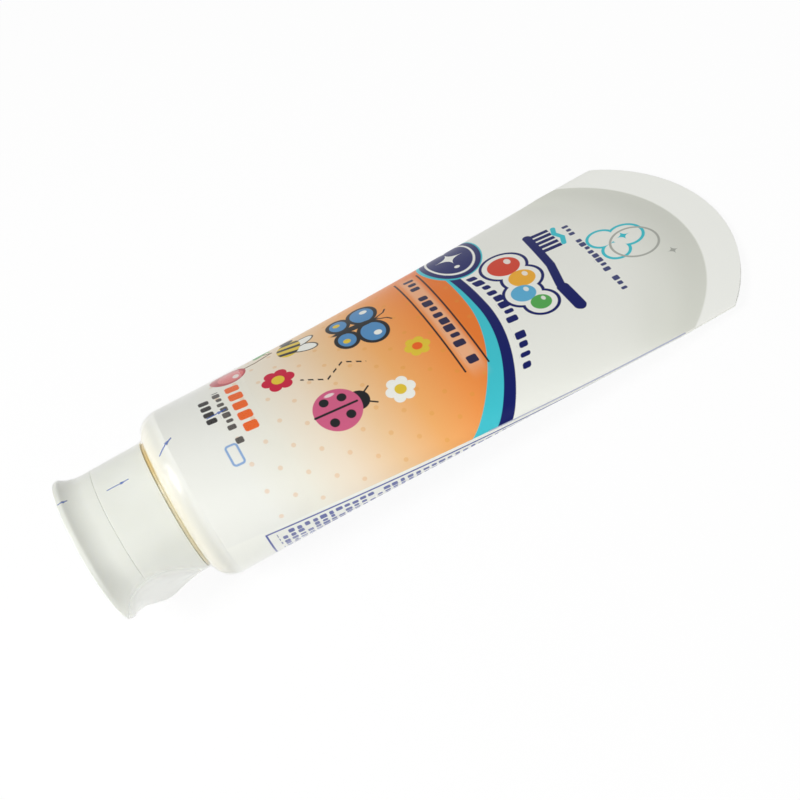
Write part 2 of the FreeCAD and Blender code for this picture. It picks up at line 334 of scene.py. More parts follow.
def broken_rows(run, rows, run_range, row_range, run_pitch, row_pitch, height):
    """Rows of small rounded marks of uneven size with gaps. Run is the place along a row."""
    tree = run.tree
    from_start = rows - row_range[0]
    cell = (run / run_pitch).number("FLOOR")
    line = (from_start / row_pitch).number("FLOOR")
    wide, high, raised = chances(tree, cell, line)
    half_run = wide * (run_pitch * 0.2) + run_pitch * 0.23
    half_row = high * (height * 0.2) + height * 0.32
    missing = raised.number("LESS_THAN", 0.08) * run_pitch
    shift = (raised - 0.5) * (height * 0.25)
    in_run = abs((run - run_pitch / 2).wrapped(run_pitch)) - half_run + missing
    in_line = abs((from_start - row_pitch / 2).wrapped(row_pitch) - shift) - half_row
    rounding = height * 0.2
    corner = combined(tree, in_run + rounding, in_line + rounding)
    outside = corner.vector("MAXIMUM", (0.0, 0.0, 0.0))
    marks = outside.vector("LENGTH", output="Value") - rounding
    run_middle, run_half = sum(run_range) / 2, (run_range[1] - run_range[0]) / 2
    row_middle, row_half = sum(row_range) / 2, (row_range[1] - row_range[0]) / 2
    limits = (abs(run - run_middle) - run_half).most(abs(rows - row_middle) - row_half)
    return marks.most(limits)


# Width of the soft edge of a shape on the print, in mm

EDGE_WIDTH = 0.14


def inside(distance):
    """One inside a shape and nought outside, with a soft edge."""
    return (distance * (-1 / EDGE_WIDTH)).number("ADD", 0.5, clamp=True)


class Print:
    """Colours laid over one another on the sleeve."""

    def __init__(self, tree, place, ground):
        self.tree = tree
        self.place = place
        self.colour = ground
        self.x, self.s = x_and_y(place)

    def lay(self, colour, distance, strength=1.0):
        share = inside(distance)
        self.wash(colour, share if strength == 1.0 else share * strength)

    def wash(self, colour, share):
        self.colour = blended(self.tree, share, self.colour, colour)


def layered(tree, place, colour, name, paint):
    """Paint one layer of the print in a node group of its own."""
    group = bpy.data.node_groups.new(name, "ShaderNodeTree")
    group.interface.new_socket("Place", in_out="INPUT", socket_type="NodeSocketVector")
    group.interface.new_socket("Below", in_out="INPUT", socket_type="NodeSocketColor")
    group.interface.new_socket("Colour", in_out="OUTPUT", socket_type="NodeSocketColor")
    source = group.nodes.new("NodeGroupInput")
    below = Field(group, source.outputs["Below"])
    page = Print(group, Field(group, source.outputs["Place"]), below)
    paint(page)
    result = group.nodes.new("NodeGroupOutput")
    group.links.new(page.colour.socket, result.inputs["Colour"])
    layer = tree.nodes.new("ShaderNodeGroup")
    layer.node_tree = group
    tree.links.new(place.socket, layer.inputs["Place"])
    joined(tree, colour, layer.inputs["Below"])
    return Field(tree, layer.outputs["Colour"])


# Colours of the print

NAVY = linear(8, 21, 96)
TEAL = linear(66, 197, 209)
WHITE = linear(241, 242, 234)
BLACK = linear(30, 32, 34)
ORANGE_INK = linear(236, 104, 40)
DOT_INK = linear(226, 158, 62)
PINK = linear(206, 96, 132)
RED = linear(200, 36, 66)
YELLOW = linear(226, 196, 62)
SKY = linear(84, 142, 192)
GREEN = linear(78, 158, 80)
GREY_INK = linear(176, 178, 170)
PANEL_BLUE = linear(70, 84, 158)
LIGHT_BLUE = linear(140, 172, 214)
GREY_BROWN = linear(92, 88, 84)
STALK = linear(122, 98, 58)
PALE_GREEN = linear(150, 200, 130)
CHERRY = linear(186, 62, 70)
PALE_CHERRY = linear(222, 112, 112)
DARK_GREY = linear(52, 50, 50)
DARK_PLUM = linear(44, 40, 70)
PALE_PEACH = linear(244, 200, 164)
SLATE = linear(70, 76, 120)
PALE_BLUE_GREY = linear(176, 181, 202)
# Painted shade on the laminate before the seal's crease, and painted light on the seal itself
SHADED_WHITE = linear(202, 205, 190)
SEAL_PAINTED_HIGHLIGHT = linear(250, 251, 245)
BUBBLE_RED = linear(214, 72, 52)
BUBBLE_AMBER = linear(240, 176, 58)
BUBBLE_BLUE = linear(96, 176, 214)
BUBBLE_GREEN = linear(86, 170, 84)

FIELD_STOPS = [
    (30.0, linear(237, 238, 231)),
    (38.0, linear(236, 234, 221)),
    (46.0, linear(239, 224, 201)),
    (54.0, linear(239, 202, 156)),
    (62.0, linear(243, 177, 108)),
    (70.0, linear(244, 154, 80)),
    (78.0, linear(236, 126, 50)),
]


def field_ground(tree, x, s):
    """White at the cap end, warming through cream and peach to orange towards the arc."""
    slanted = x - (s - 16.0) * 0.08
    first, last = FIELD_STOPS[0][0], FIELD_STOPS[-1][0]
    ramp = tree.nodes.new("ShaderNodeValToRGB")
    points = ramp.color_ramp.elements
    while len(points) < len(FIELD_STOPS):
        points.new(0.5)
    for point, (place, colour) in zip(points, FIELD_STOPS):
        point.position = (place - first) / (last - first)
        point.color = colour
    tree.links.new(between(tree, slanted, first, last).socket, ramp.inputs["Fac"])
    return Field(tree, ramp.outputs["Color"])


DOT_PITCH_X = 7.75
DOT_PITCH_S = 5.3
DOT_RADIUS = 0.42
DOTS_START = 31.0


def lay_dots(page):
    """A staggered lattice of small dots."""
    lattices = []
    for start_x, start_s in ((35.9, 15.8), (39.75, 18.45)):
        cell_x = (page.x - start_x).wrapped(DOT_PITCH_X)
        cell_s = (page.s - start_s).wrapped(DOT_PITCH_S)
        reach = combined(page.tree, cell_x, cell_s).vector("LENGTH", output="Value")
        lattices.append(reach - DOT_RADIUS)
    page.lay(DOT_INK, any_of(lattices).most(DOTS_START - page.x), 0.32)


def lay_fruit(page):
    """Two cherries with a leaf."""
    place = page.place
    page.lay(STALK, strokes(place, [(35.0, -17.6), (41.0, -15.6), (44.4, -12.4)], 0.25))
    page.lay(STALK, strokes(place, [(35.6, -9.8), (41.0, -10.8), (44.4, -12.4)], 0.25))
    page.lay(GREEN, oval(place, 43.2, -16.6, 1.5, 4.0, 28))
    page.lay(PALE_GREEN, stroke(place, (44.3, -13.6), (42.6, -19.0), 0.14))
    for fruit_x, fruit_s in ((34.6, -18.4), (35.4, -9.6)):
        page.lay(CHERRY, disc(place, fruit_x, fruit_s, 3.5))
        page.lay(PALE_CHERRY, disc(place, fruit_x + 0.5, fruit_s + 0.4, 2.5))
        page.lay(WHITE, oval(place, fruit_x + 1.4, fruit_s + 1.2, 0.6, 0.9), 0.8)


def lay_butterfly(page):
    """Blue wings edged in black round a black body."""
    place = page.place
    x, s = 60.0, -7.6
    wings = ((2.4, 3.5, 3.0, 3.7), (-2.5, 3.0, 2.4, 2.9))
    for edge, colour in ((0.0, BLACK), (0.75, SKY)):
        for wing_x, wing_s, half_x, half_s in wings:
            for side in (-1, 1):
                wing = oval(place, x + wing_x, s + side * wing_s, half_x - edge, half_s - edge)
                page.lay(colour, wing)
    for side in (-1, 1):
        page.lay(WHITE, disc(place, x + 3.0, s + side * 4.4, 0.75))
        page.lay(YELLOW, disc(place, x - 2.7, s + side * 3.4, 0.7))
        feeler = [(x + 3.6, s), (x + 6.0, s + side * 1.1), (x + 6.6, s + side * 2.0)]
        page.lay(BLACK, strokes(place, feeler, 0.16))
    page.lay(BLACK, oval(place, x, s, 4.6, 0.85))


def lay_bee(page):
    """A yellow body with black bands and pale wings."""
    place = page.place
    x, s, turn = 47.6, -10.6, 14
    for wing_turn, wing_s in ((28, 2.3), (-20, -0.4)):
        for colour, half_x, half_s in ((BLACK, 2.9, 1.6), (WHITE, 2.6, 1.3)):
            page.lay(colour, oval(place, x + 2.4, s + wing_s, half_x, half_s, wing_turn))
    body = oval(place, x, s, 2.3, 3.6, turn)
    page.lay(YELLOW, body)
    lengthwise = x_and_y(local(place, x, s, turn))[1]
    bands = abs(lengthwise.wrapped(2.3)) - 0.5
    page.lay(BLACK, bands.most(body))
    page.lay(BLACK, disc(place, x + 0.2, s - 4.0, 1.35))


def lay_ladybird(page):
    """A pink shell with black spots."""
    place = page.place
    x, s = 49.4, 10.4
    page.lay(BLACK, disc(place, x + 3.9, s, 2.0))
    page.lay(PINK, disc(place, x, s, 4.3))
    page.lay(BLACK, stroke(place, (x - 4.2, s), (x + 3.6, s), 0.22))
    for spot_x, spot_s in ((1.6, 1.9), (1.6, -1.9), (-1.6, 2.2), (-1.6, -2.2)):
        page.lay(BLACK, disc(place, x + spot_x, s + spot_s, 0.85))
    for side in (-1, 1):
        page.lay(BLACK, stroke(place, (x + 5.0, s + side * 0.8), (x + 6.6, s + side * 1.9), 0.16))
    page.lay(WHITE, oval(place, x - 0.1, s - 3.3, 0.9, 0.35), 0.7)


def lay_flowers(page):
    """Flowers and a dashed flight line."""
    blooms = [
        (43.0, -1.2, RED, YELLOW, 1.9),
        (60.6, 11.8, WHITE, YELLOW, 1.7),
        (67.4, 4.4, YELLOW, ORANGE_INK, 1.5),
    ]
    for x, s, petals, heart, radius in blooms:
        page.lay(petals, round_petals(page.place, x, s, 6, radius, radius * 0.62))
        page.lay(heart, disc(page.place, x, s, radius * 0.62))
    dashes = abs(page.x.wrapped(1.5)) - 0.42
    flight = strokes(page.place, [(46.5, 1.2), (50.6, 3.6), (54.4, 0.8), (58.0, 3.0)], 0.17)
    page.lay(BLACK, flight.most(dashes))


ARC_CENTRE = (45.7, 2.5)


def lay_arcs(page):
    """Teal crescent and navy band across the front, with the white ground beyond them."""
    bent = page.s.most(0.0) + page.s.least(0.0) * 0.55
    arched = combined(page.tree, page.x, bent)
    before = 60.0 - page.x
    arcs = [
        (TEAL, 44.3, -1.5, 35.4),
        (NAVY, 46.3, 2.2, 34.6),
        (WHITE, *ARC_CENTRE, 37.0),
    ]
    for colour, x, s, radius in arcs:
        page.lay(colour, (-disc(arched, x, s, radius)).most(before))


def lay_badge(page):
    """A navy oval with a white ring and a sparkle."""
    place = page.place
    page.lay(TEAL, oval(place, 83.0, -18.6, 6.4, 9.7))
    page.lay(NAVY, oval(place, 83.2, -18.6, 5.9, 9.3))
    page.lay(WHITE, outline(oval(place, 83.2, -18.6, 4.6, 7.6), 0.22))
    page.lay(WHITE, sparkle(place, 83.2, -18.6, 3.2))
    for spot_s in (-23.4, -13.8):
        page.lay(WHITE, disc(place, 83.2, spot_s, 0.55))


def lay_bubbles(page):
    """Four coloured bubbles with navy edges on a pale ground."""
    place = page.place
    bubbles = [
        (90.0, -7.2, 3.1, BUBBLE_RED),
        (91.2, -1.8, 2.5, BUBBLE_AMBER),
        (89.4, 2.4, 2.3, BUBBLE_BLUE),
        (91.0, 6.2, 1.9, BUBBLE_GREEN),
    ]
    for margin, ink in ((1.6, NAVY), (1.0, WHITE)):
        edges = [disc(place, x, s, radius + margin) for x, s, radius, colour in bubbles]
        page.lay(ink, any_of(edges))
    for x, s, radius, colour in bubbles:
        page.lay(colour, disc(place, x, s, radius))
        glint_x, glint_s = x + radius * 0.4, s - radius * 0.35
        page.lay(WHITE, oval(place, glint_x, glint_s, radius * 0.2, radius * 0.3), 0.85)


def lay_brush(page):
    """A toothbrush lying across the tube, with a teal swoosh of paste."""
    place = page.place
    handle = [(96.4, 11.0), (96.0, 4.0), (97.2, -2.0), (97.6, -13.0)]
    page.lay(NAVY, strokes(place, handle, 0.85))
    page.lay(NAVY, stroke(place, (96.35, 10.6), (96.05, 5.0), 1.15))
    bristles = plate(place, 100.0, -9.6, 1.9, 3.7, 0.3)
    gaps = abs((page.s + 9.6).wrapped(1.5)) - 0.5
    page.lay(NAVY, bristles.most(gaps))
    swoosh = [(102.9, -12.4), (102.3, -10.6), (103.1, -8.6), (102.4, -6.6)]
    page.lay(TEAL, strokes(place, swoosh, 0.5))


def lay_foam(page):
    """A cloud of foam in outline with a grey ring and sparkles."""
    place = page.place
    puffs = [(108.4, -3.0, 2.7), (109.0, 1.6, 2.5), (112.6, -1.4, 3.2)]
    cloud = any_of(disc(place, *puff) for puff in puffs)
    page.lay(WHITE, cloud)
    page.lay(TEAL, outline(cloud, 0.3))
    page.lay(GREY_INK, outline(disc(place, 112.8, 1.4, 4.4), 0.22))
    page.lay(TEAL, sparkle(place, 112.0, -1.4, 1.5))
    page.lay(GREY_INK, sparkle(place, 117.2, 7.4, 1.2))


def lay_cap_end_marks(page):
    """Rounded bars and a row of plain marks near the cap end."""
    place = page.place
    for index in range(5):
        page.lay(ORANGE_INK, plate(place, 35.1, -4.0 + index * 2.6, 1.3, 0.95, 0.5))
    row = broken_rows(page.s, page.x, (-5.0, 9.0), (31.2, 33.0), 1.5, 1.8, 1.5)
    page.lay(GREY_BROWN, row)
    for index in range(4):
        page.lay(DARK_GREY, plate(place, 29.5, -2.9 + index * 1.75, 0.95, 0.62, 0.4))
    page.lay(LIGHT_BLUE, outline(plate(place, 30.3, 10.4, 1.0, 1.9, 0.5), 0.2))


def lay_ruled_marks(page):
    """A row of marks on a pale glow between two thin lines across the front."""
    middle = page.x - page.s * 0.015
    ends = between(page.tree, abs(page.s + 2.0), 13.0, 19.0, 1.0, 0.0, smooth=True)
    glow = between(page.tree, abs(middle - 73.95), 0.9, 2.3, 0.6, 0.0, smooth=True)
    page.wash(PALE_PEACH, glow * ends)
    page.lay(BLACK, stroke(page.place, (71.3, -18.0), (71.9, 14.0), 0.17))
    page.lay(BLACK, stroke(page.place, (76.0, -18.0), (76.4, 14.0), 0.17))
    row = broken_rows(page.s, middle, (-17.0, 13.4), (72.85, 75.05), 2.2, 2.2, 2.1)
    page.lay(DARK_PLUM, row)


def lay_tail_marks(page):
    """Marks that follow the arc, and a row near the seal."""
    reach = disc(combined(page.tree, page.x, page.s), *ARC_CENTRE, 0.0)
    page.lay(NAVY, broken_rows(page.s, reach, (-8.0, 19.0), (38.1, 40.3), 2.1, 2.2, 2.1))
    row = broken_rows(page.s, page.x, (-12.0, 11.6), (104.1, 105.7), 1.5, 1.6, 1.3)
    page.lay(SLATE, row)


CREASE_RADIUS = (HALF_SEAL ** 2 + INNER_ARCH ** 2) / (2 * INNER_ARCH)
CREASE_CENTRE = PRINT_LEAD + BODY_LENGTH + INNER_ARCH - CREASE_RADIUS


def lay_seal_painted_light(page):
    """Painted light: a paler crimped seal, and shade greying the laminate before its crease."""
    before = disc(page.place, CREASE_CENTRE, 0.0, CREASE_RADIUS)
    tail = between(page.tree, page.x - CREASE_CENTRE, 4.0, 16.0, smooth=True)
    # Painted highlight: the seal band painted paler than the white laminate, standing in for
    # light on its flat face
    seal = between(page.tree, before, 0.0, 0.3) * tail
    # Painted shade: the laminate darkened towards the crease, over the last 17 mm before it
    shade = between(page.tree, before, -17.0, 0.0, 0.0, 0.42, smooth=True) * tail
    page.wash(SHADED_WHITE, shade)
    page.wash(SEAL_PAINTED_HIGHLIGHT, seal)


FIELD_EDGE = 25.7


def lay_side_panel(page):
    """The edge of the front field, and the frame of a panel over the back."""
    girth = abs(page.s - 2 * HALF_SEAL)
    panel_half = 2 * HALF_SEAL - 26.6
    frame_edge = (abs(page.x - 64.5) - 36.5).most(girth - panel_half)
    page.lay(WHITE, FIELD_EDGE - page.s)
    page.lay(PANEL_BLUE, outline(frame_edge, 0.17))
    edge = (abs(page.s - FIELD_EDGE) - 0.12).most(abs(page.x - 89.0) - 19.0)
    page.lay(PALE_BLUE_GREY, edge)


def lay_side_marks(page):
    """Lines of fine marks inside the panel's frame."""
    rows = broken_rows(page.x, page.s, (29.6, 99.6), (27.2, 72.2), 1.5, 1.5, 1.35)
    page.lay(PANEL_BLUE, rows, 0.9)


PRINT_LAYERS = {
    "dots": lay_dots,
    "fruit": lay_fruit,
    "flowers": lay_flowers,
    "butterfly": lay_butterfly,
    "bee": lay_bee,
    "ladybird": lay_ladybird,
    "arcs": lay_arcs,
    "seal": lay_seal_painted_light,
    "tail_marks": lay_tail_marks,
    "badge": lay_badge,
    "bubbles": lay_bubbles,
    "brush": lay_brush,
    "foam": lay_foam,
    "cap_end_marks": lay_cap_end_marks,
    "ruled_marks": lay_ruled_marks,
    "side_panel": lay_side_panel,
    "side_marks": lay_side_marks,
}


# Steps that the materials share

SCATTER_REACH = (0.002, 0.0018, 0.0012)


def new_material(name):
    material = bpy.data.materials.new(name)
    material.use_nodes = True
    tree = material.node_tree
    shader = next(node for node in tree.nodes if node.type == "BSDF_PRINCIPLED")
    return material, tree, shader


def bumped(tree, shader, height, strength, distance):
    bump = tree.nodes.new("ShaderNodeBump")
    bump.inputs["Strength"].default_value = strength
    bump.inputs["Distance"].default_value = distance
    tree.links.new(height.socket, bump.inputs["Height"])
    tree.links.new(bump.outputs["Normal"], shader.inputs["Normal"])


def object_place(tree):
    node = tree.nodes.new("ShaderNodeTexCoord")
    return Field(tree, node.outputs["Object"])


def roughened(tree, shader, clouds, least, most):
    """Roughness that varies with a noise field."""
    joined(tree, between(tree, clouds, 0.3, 0.7, least, most), shader.inputs["Roughness"])


def softened(shader, weight):
    """Let a little light scatter under the surface."""
    shader.inputs["Subsurface Weight"].default_value = weight
    shader.inputs["Subsurface Radius"].default_value = SCATTER_REACH


def mixed_shaders(tree, share, below, above):
    """Two shaders mixed by a share."""
    node = tree.nodes.new("ShaderNodeMixShader")
    joined(tree, share, node.inputs["Fac"])
    tree.links.new(below, node.inputs[1])
    tree.links.new(above, node.inputs[2])
    return node.outputs[0]


def diffuse(tree, colour):
    node = tree.nodes.new("ShaderNodeBsdfDiffuse")
    node.inputs["Color"].default_value = colour
    return node


def finished(tree, surface):
    """Make a shader the surface of the material."""
    output = next(node for node in tree.nodes if node.type == "OUTPUT_MATERIAL")
    tree.links.new(surface, output.inputs["Surface"])


def print_place(tree):
    """The print's place vector, x and s."""
    node = tree.nodes.new("ShaderNodeUVMap")
    node.uv_map = "print"
    place = Field(tree, node.outputs["UV"])
    return place, *x_and_y(place)


LAMINATE_IOR = 1.24


def print_material():
    """Glossy printed laminate."""
    material, tree, shader = new_material("printed_laminate")
    place, x, s = print_place(tree)
    colour = field_ground(tree, x, s)
    for name, paint in PRINT_LAYERS.items():
        colour = layered(tree, place, colour, name, paint)
    joined(tree, colour, shader.inputs["Base Color"])
    roughened(tree, shader, noise_field(tree, place, 0.35, 4.0, 0.6), 0.28, 0.33)
    shader.inputs["IOR"].default_value = LAMINATE_IOR
    bumped(tree, shader, noise_field(tree, place, 0.1, 2.0, 0.5), 0.1, 0.0004)
    return material


# Materials of the other pieces

CAP_WHITE = linear(231, 233, 225)
CAP_CLOUD = linear(226, 228, 219)
# Painted warm shade in the gap under the cap, and its paler part towards -Y
HEAD_GAP_SHADE_AMBER = linear(228, 206, 146)
HEAD_GAP_SHADE_PALER = linear(234, 228, 204)
HEAD_CREAM = linear(226, 223, 207)
HEAD_GREY = linear(216, 216, 206)
HEAD_CLOUD = linear(236, 226, 194)
HAZE_WHITE = linear(236, 237, 233)
ARROW_BLUE = linear(72, 104, 178)
CLEAR = (1.0, 1.0, 1.0, 1.0)

FILM_IOR = 1.22
ARROW_HALF_WIDTH = 0.13
ARROW_STRENGTH = 0.85
FILM_ARROWS = [
    ((-0.5, 1.0), (1.0, 0.5)),
    ((8.0, 3.0), (12.0, 3.0)),
    ((19.0, 4.5), (22.0, 2.5)),
    ((29.0, 1.5), (32.5, 1.0)),
]
FOLD_PLACE = (7.2, 37.8)
FOLD_HALF = (9.5, 14.0)
FOLD_FADE = 4.5
FOLD_HAZE = 0.97


def cap_material():
    """Smooth white moulded plastic, faintly mottled."""
    material, tree, shader = new_material("moulded_cap_plastic")
    place = object_place(tree)
    clouds = noise_field(tree, place, 90.0, 3.0)
    tone = between(tree, clouds, 0.35, 0.65)
    colour = blended(tree, tone, CAP_WHITE, CAP_CLOUD)
    joined(tree, colour, shader.inputs["Base Color"])
    grain = noise_field(tree, place, 900.0, 4.0)
    roughened(tree, shader, grain, 0.32, 0.44)
    softened(shader, 0.12)
    bumped(tree, shader, grain, 0.05, 0.0001)
    return material


def head_material():
    """Natural polyethylene, cream over the shoulder and white at the sleeve, with painted warm
    amber shade in the gap under the cap, paler towards -Y."""
    material, tree, shader = new_material("natural_head_plastic")
    place, x, s = print_place(tree)
    plane = PRINT_LEAD - SHOULDER_CORNER
    # Painted shade: warm amber where the shoulder meets the cap's gap, a little wider over the
    # front, paler towards -Y
    up = between(tree, abs(s), 20.0, 34.0, 0.35, 0.0, smooth=True)
    amber = between(tree, x - up, plane - 0.1, plane + 0.1, smooth=True)
    cream = between(tree, x, plane + 0.6, plane + 2.8, smooth=True)
    paler = between(tree, s, 2.0, 9.0, 0.0, 0.85, smooth=True)
    colour = blended(tree, paler, HEAD_GAP_SHADE_AMBER, HEAD_GAP_SHADE_PALER)
    colour = blended(tree, amber, colour, HEAD_CREAM)
    colour = blended(tree, cream, colour, HEAD_GREY)
    white = between(tree, x, plane + 2.6, plane + 4.3, smooth=True)
    colour = blended(tree, white, colour, FIELD_STOPS[0][1])
    clouds = noise_field(tree, object_place(tree), 160.0, 3.0)
    mottled = between(tree, clouds, 0.4, 0.8, 0.0, 0.12) * (1.0 - cream)
    colour = blended(tree, mottled, colour, HEAD_CLOUD)
    joined(tree, colour, shader.inputs["Base Color"])
    roughened(tree, shader, clouds, 0.3, 0.4)
    softened(shader, 0.1)
    return material


def film_material():
    """Clear film: only its gloss, one milky fold and small arrows show, on its outer face."""
    material, tree, shader = new_material("clear_shrink_film")
    place = print_place(tree)[0]
    wrinkles = noise_field(tree, place, 0.45, 2.0, 0.5)
    shader.inputs["Base Color"].default_value = CLEAR
    shader.inputs["Metallic"].default_value = 1.0
    roughened(tree, shader, wrinkles, 0.1, 0.16)
    bumped(tree, shader, wrinkles, 0.2, 0.0004)
    geometry = tree.nodes.new("ShaderNodeNewGeometry")
    outside = 1.0 - Field(tree, geometry.outputs["Backfacing"])

    clear = tree.nodes.new("ShaderNodeBsdfTransparent")
    clear.inputs["Color"].default_value = CLEAR
    haze = diffuse(tree, HAZE_WHITE)
    from_end = object_place(tree).vector("SUBTRACT", tuple(mount["pos_m"]))
    share = from_end.vector("DOT_PRODUCT", tuple(along), output="Value")
    outwards = from_end.vector("SUBTRACT", scaled(tree, along, share)).vector("NORMALIZE")
    tree.links.new(outwards.socket, haze.inputs["Normal"])
    fold = oval(place, *FOLD_PLACE, *FOLD_HALF)
    folded = between(tree, fold, -FOLD_FADE, 0.0, FOLD_HAZE, 0.0, smooth=True)
    milky = mixed_shaders(tree, folded * outside, clear.outputs[0], haze.outputs[0])

    mirror = tree.nodes.new("ShaderNodeFresnel")
    mirror.inputs["IOR"].default_value = FILM_IOR
    shine = Field(tree, mirror.outputs["Fac"]) * outside
    gloss = mixed_shaders(tree, shine, milky, shader.outputs[0])

    arrows = any_of(arrow(place, *ends, ARROW_HALF_WIDTH) for ends in FILM_ARROWS)
    inked = inside(arrows) * outside * ARROW_STRENGTH
    ink = diffuse(tree, ARROW_BLUE)
    finished(tree, mixed_shaders(tree, inked, gloss, ink.outputs[0]))
    return material


# Shapes

def seal_rise(rise, s):
    """How far an arch over the seal's width stands out at s."""
    radius = (HALF_SEAL ** 2 + rise ** 2) / (2 * rise)
    return np.sqrt(radius ** 2 - np.minimum(np.abs(s), HALF_SEAL) ** 2) - (radius - rise)


def smooth_step(value):
    share = np.clip(value, 0.0, 1.0)
    return share * share * (3 - 2 * share)


SEAL_EASE = 0.02
SQUARE_FROM = 0.88
SQUARE_OVER = 0.12


def section(share, outset=0.0):
    """Half height, half width and squareness of the sleeve at a share of its length."""
    free = TUBE_RADIUS * (1 - share) ** TAPER_POWER
    half_width = (HALF_SEAL ** GIRTH_POWER - free ** GIRTH_POWER) ** (1 / GIRTH_POWER)
    left = 1 - share
    half_height = free + SEAL_THICKNESS / 2 * math.exp(-left / SEAL_EASE)
    squareness = 2.0 + 2.5 * float(smooth_step((share - SQUARE_FROM) / SQUARE_OVER)) ** 2
    return half_height + outset, half_width + outset, squareness


def quarter_points(half_height, half_width, squareness, shares):
    """Points at shares of the way from the top of a section to its edge, by length."""
    angle = np.linspace(0.0, math.pi / 2, 400)
    wide = half_width * np.sin(angle) ** (2 / squareness)
    high = half_height * np.cos(angle) ** (2 / squareness)
    steps = np.hypot(np.diff(wide), np.diff(high))
    run = np.concatenate([[0.0], np.cumsum(steps)])
    run /= run[-1]
    return np.interp(shares, run, wide), np.interp(shares, run, high)


HALF_COLUMNS = 72
EDGE_CROWDING = 0.98


def girth_places():
    """Places s round the sleeve, closer together towards its two folded edges."""
    front = np.sin(np.linspace(-math.pi / 2, math.pi / 2, HALF_COLUMNS + 1) * EDGE_CROWDING)
    front = front / front[-1] * HALF_SEAL
    return np.concatenate([front, 2 * HALF_SEAL - front[::-1][1:-1]])


def folded_over(girth):
    """The place on the front that each place round the sleeve lies over or under."""
    return np.where(girth > HALF_SEAL, 2 * HALF_SEAL - girth, girth)


GIRTH = girth_places()
CREASE_SWELL = 1.0
BACK_SWELL = 0.35
SWELL_EASE = 0.05
SWELL_REACH = 0.16


def swelling(share, folded):
    """How far the paste swells the front before the crease, most in the middle."""
    left = 1 - share
    near = (1 - math.exp(-left / SWELL_EASE)) * math.exp(-(left / SWELL_REACH) ** 2)
    swell = CREASE_SWELL * near
    return swell * (1 - (folded / HALF_SEAL) ** 2) ** 2


def ring_points(share, outset=0.0, girth=GIRTH):
    """One ring of the sleeve: every place of its girth at a share of the length."""
    half_height, half_width, squareness = section(share, outset)
    folded = folded_over(girth)
    wide, high = quarter_points(half_height, half_width, squareness, np.abs(folded) / HALF_SEAL)
    lift = swelling(share, folded)
    high = np.where(girth > HALF_SEAL, -high - lift * BACK_SWELL, high + lift)
    length = share * (BODY_LENGTH + share * seal_rise(INNER_ARCH, folded))
    return np.stack([SLEEVE_START + length, -np.sign(folded) * wide, high], axis=1)


def print_marks(ring, girth):
    """The print places of a ring's points."""
    return np.stack([ring[:, 0] - SLEEVE_START + PRINT_LEAD, girth], axis=1)


def built_mesh(name, rings, marks, span, material, open_ends=False, strip_end=False):
    """A mesh through rings of points. Marks are the print places (x, s) of the points, span is
    how far s runs round a ring. The ends are closed unless they are open, and the last one with
    a strip where that is asked for."""
    count = len(rings[0])
    points = in_row(np.concatenate(rings))
    points = np.clip(points, BOX_LOW + BOX_MARGIN, BOX_HIGH - BOX_MARGIN)
    faces = []
    places = []
    for row in range(len(rings) - 1):
        for column in range(count):
            after = (column + 1) % count
            corners = [(row, column), (row, after), (row + 1, after), (row + 1, column)]
            faces.append([r * count + c for r, c in corners])
            for r, c in corners:
                mark_x, mark_s = marks[r][c]
                past_seam = after == 0 and c == 0
                places.append((mark_x, mark_s + span if past_seam else mark_s))
    if not open_ends:
        faces.append(list(range(count))[::-1])
        places.extend(tuple(marks[0][c]) for c in range(count)[::-1])
    last = len(rings) - 1
    if strip_end:
        for low in range(count // 2):
            corners = [low, low + 1, (count - low - 1) % count, (count - low) % count]
            corners = [c for index, c in enumerate(corners) if c not in corners[:index]]
            faces.append([last * count + c for c in corners])
            places.extend(tuple(marks[last][c]) for c in corners)
    elif not open_ends:
        faces.append([last * count + c for c in range(count)])
        places.extend(tuple(marks[last][c]) for c in range(count))
    mesh = bpy.data.meshes.new(name)
    mesh.from_pydata([tuple(point) for point in points], [], faces)
    layer = mesh.uv_layers.new(name="print")
    layer.data.foreach_set("uv", np.array(places, np.float32).ravel())
    mesh.polygons.foreach_set("use_smooth", [True] * len(faces))
    mesh.materials.append(material)
    mesh.update()
    piece = bpy.data.objects.new(name, mesh)
    bpy.context.scene.collection.objects.link(piece)
    return piece


def sleeve_piece(material):
    """The filled laminate sleeve with its arched flat seal."""
    rings = []
    for inset_x in (SKIRT_LENGTH, 0.0):
        ring = ring_points(0.0, -SLEEVE_WALL)
        ring[:, 0] += inset_x
        rings.append(ring)
    near_seal = 0.9 + 0.1 * np.sin(np.linspace(0, math.pi / 2, 45)[1:])
    shares = np.concatenate([[0.0, 0.0004], np.linspace(0.0, 0.9, 100)[1:], near_seal])
    rings += [ring_points(share) for share in shares]
    folded = folded_over(GIRTH)
    start = rings[-1][:, 0]
    end = SLEEVE_START + BODY_LENGTH + SEAL_WIDTH + seal_rise(OUTER_ARCH, folded)
    for share in (0.004, *np.linspace(0.0, 0.94, 12)[1:], 0.995, 1.0):
        ring = rings[-1].copy()
        ring[:, 0] = start + (end - start) * share
        rings.append(ring)
    marks = [print_marks(ring, GIRTH) for ring in rings]
    return built_mesh("filled_tube_sleeve", rings, marks, 4 * HALF_SEAL, material, strip_end=True)


def round_ring(x, reach, angle):
    """One ring of points round the tube's axis."""
    ring = [np.full_like(angle, x), -reach * np.sin(angle), reach * np.cos(angle)]
    return np.stack(ring, axis=1)


